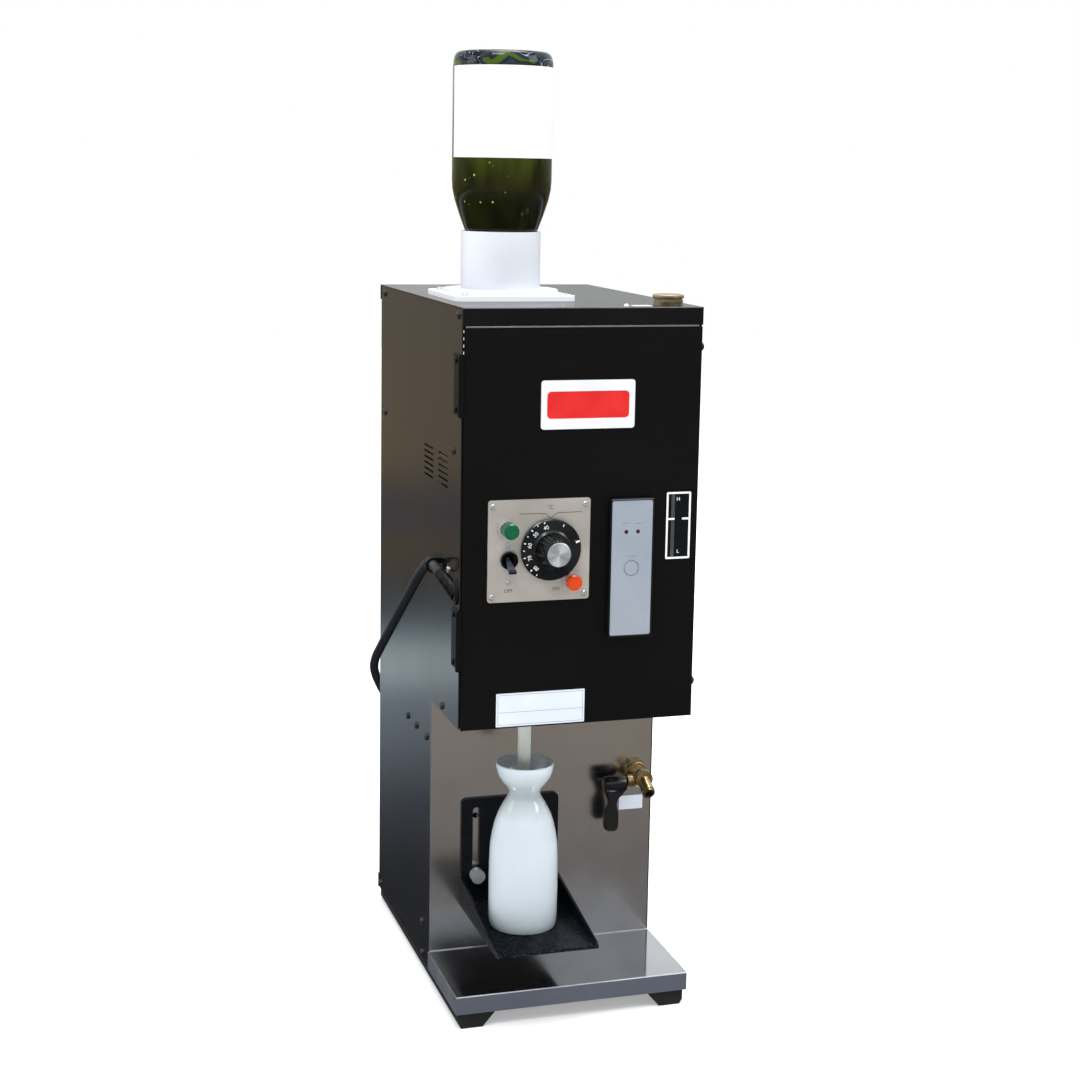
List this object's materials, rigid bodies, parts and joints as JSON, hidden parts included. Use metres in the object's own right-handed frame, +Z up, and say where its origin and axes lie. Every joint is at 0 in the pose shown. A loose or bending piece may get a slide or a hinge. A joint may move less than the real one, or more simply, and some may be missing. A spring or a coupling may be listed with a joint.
{
  "type": "sake warmer machine",
  "caption": "Tall sake warmer: hinged control door, inverted bottle in a collar, hot tank, dispensing tube over a flask on a sliding shelf, drain cock.",
  "frame": {"origin": "centre of the base on the floor, measured without the mains cord", "axes": "+Z up, the front with the door faces -Y, +X to the right seen from the front"},
  "size_m": [0.2627, 0.549, 0.954],
  "materials": {
    "black_paint": "fine textured black powder coat",
    "top_paint": "dark satin paint",
    "door_paint": "smooth black satin paint",
    "stainless": "fine brushed, nearly mirror",
    "tank_steel": "2B sheet",
    "runner_black": "matt black",
    "screw_black": "black oxide",
    "screw_silver": "plated",
    "white_pvc": "satin white",
    "silicone": "milky translucent",
    "brass": "cast and machined",
    "glass_clear": "clear",
    "glass_green": "dark olive glass",
    "cord_rubber": "black rubber",
    "hinge_black": "black",
    "plate_white": "white enamel",
    "plate_satin": "satin silver, slightly warm",
    "phenolic": "black moulded",
    "appliance_white": "moulded",
    "lens_green": "translucent green",
    "lens_orange": "translucent orange",
    "membrane_grey": "fine matt film",
    "board_green": "circuit board",
    "porcelain": "white glaze",
    "pump_grey": "moulded",
    "case_black": "satin black moulded",
    "shelf_black": "black gloss paint"
  },
  "bodies": {
    "cabinet": {"side_panel_left": "black_paint", "side_panel_right": "black_paint", "top_cover": "top_paint", "rear_cover": "black_paint", "column_panel": "stainless", "head_floor": "stainless", "drip_tray": "stainless", "base_plate": "black_paint", "runners": "runner_black", "cabinet_screws": "screw_black", "hinge_fixed": "hinge_black", "door_catches": "screw_black", "bottle_collar": "white_pvc", "collar_screws": "screw_silver", "bottle_socket": "tank_steel", "sake_pipe": "silicone", "sake_pump": "pump_grey", "nozzle_fitting": "tank_steel", "dispense_tube": "silicone", "water_tank": "tank_steel", "tank_lid": "tank_steel", "heater_element": "tank_steel", "filler_neck": "brass", "sight_tube": "glass_clear", "tank_pipes": "brass", "drain_cock": "brass", "electrics_box": "appliance_white", "cord_gland": "cord_rubber", "cord_clip": "phenolic", "cord_run": "cord_rubber", "cord_coil": "cord_rubber", "cord_tail": "cord_rubber", "mains_plug": "cord_rubber"},
    "door": {"door_shell": "door_paint", "door_hinge_leaves": "hinge_black", "nameplate": "plate_white", "control_plate": "plate_satin", "thermostat_body": "appliance_white", "switch_body": "phenolic", "lamp_bezels": "screw_silver", "lamp_green": "lens_green", "lamp_orange": "lens_orange", "membrane_case": "case_black", "membrane_panel": "membrane_grey", "circuit_box": "board_green", "gauge_window": "glass_clear", "plate_screws": "screw_silver"},
    "dial": {"dial": "phenolic"},
    "toggle": {"toggle_lever": "phenolic"},
    "manual_key": {"manual_key": "membrane_grey"},
    "drain_lever": {"drain_lever": "phenolic"},
    "shelf": {"shelf_bracket": "shelf_black"},
    "thumb_left": {"thumb_screw_left": "screw_silver"},
    "thumb_right": {"thumb_screw_right": "screw_silver"},
    "filler_cap": {"filler_cap": "brass"},
    "bottle": {"bottle": "glass_green", "bottle_base": "glass_green", "bottle_shoulder": "glass_green", "bottle_neck": "glass_green"},
    "flask": {"flask": "porcelain"}
  },
  "joints": [
    {"name": "door_hinge", "type": "hinge", "parent": "cabinet", "child": "door", "pos_m": [-0.1215, -0.165, 0.497], "axis": [0, 0, -1], "range_deg": [0, 110]},
    {"name": "dial_turn", "type": "hinge", "parent": "door", "child": "dial", "pos_m": [-0.0312, -0.1785, 0.4782], "axis": [0, 1, 0], "range_deg": [-74, 148]},
    {"name": "power_toggle", "type": "hinge", "parent": "door", "child": "toggle", "pos_m": [-0.0726, -0.1585, 0.4692], "axis": [-1, 0, 0], "range_deg": [0, 48.8]},
    {"name": "manual_press", "type": "slide", "parent": "door", "child": "manual_key", "axis": [0, 1, 0], "range_m": [0, 0.0007], "stiffness_N_per_m": 200},
    {"name": "drain_turn", "type": "hinge", "parent": "cabinet", "child": "drain_lever", "pos_m": [0.09, -0.0735, 0.209], "axis": [-1, 0, 0], "range_deg": [0, 90]},
    {"name": "shelf_slide", "type": "slide", "parent": "cabinet", "child": "shelf", "axis": [0, 0, -1], "range_m": [0, 0.044]},
    {"name": "thumb_left_turn", "type": "hinge", "parent": "cabinet", "child": "thumb_left", "pos_m": [-0.0716, -0.0579, 0.116], "axis": [0, -1, 0], "continuous": true},
    {"name": "thumb_right_turn", "type": "hinge", "parent": "cabinet", "child": "thumb_right", "pos_m": [-0.0014, -0.0579, 0.116], "axis": [0, -1, 0], "continuous": true},
    {"name": "filler_cap_lift", "type": "slide", "parent": "cabinet", "child": "filler_cap", "axis": [0, 0, 1], "range_m": [0, 0.04]},
    {"name": "bottle_lift", "type": "slide", "parent": "cabinet", "child": "bottle", "axis": [0, 0, 1], "range_m": [0, 0.14]},
    {"name": "flask_slide", "type": "slide", "parent": "shelf", "child": "flask", "axis": [0, -1, 0], "range_m": [0, 0.1], "deforming": ["dispense_tube"]}
  ]
}
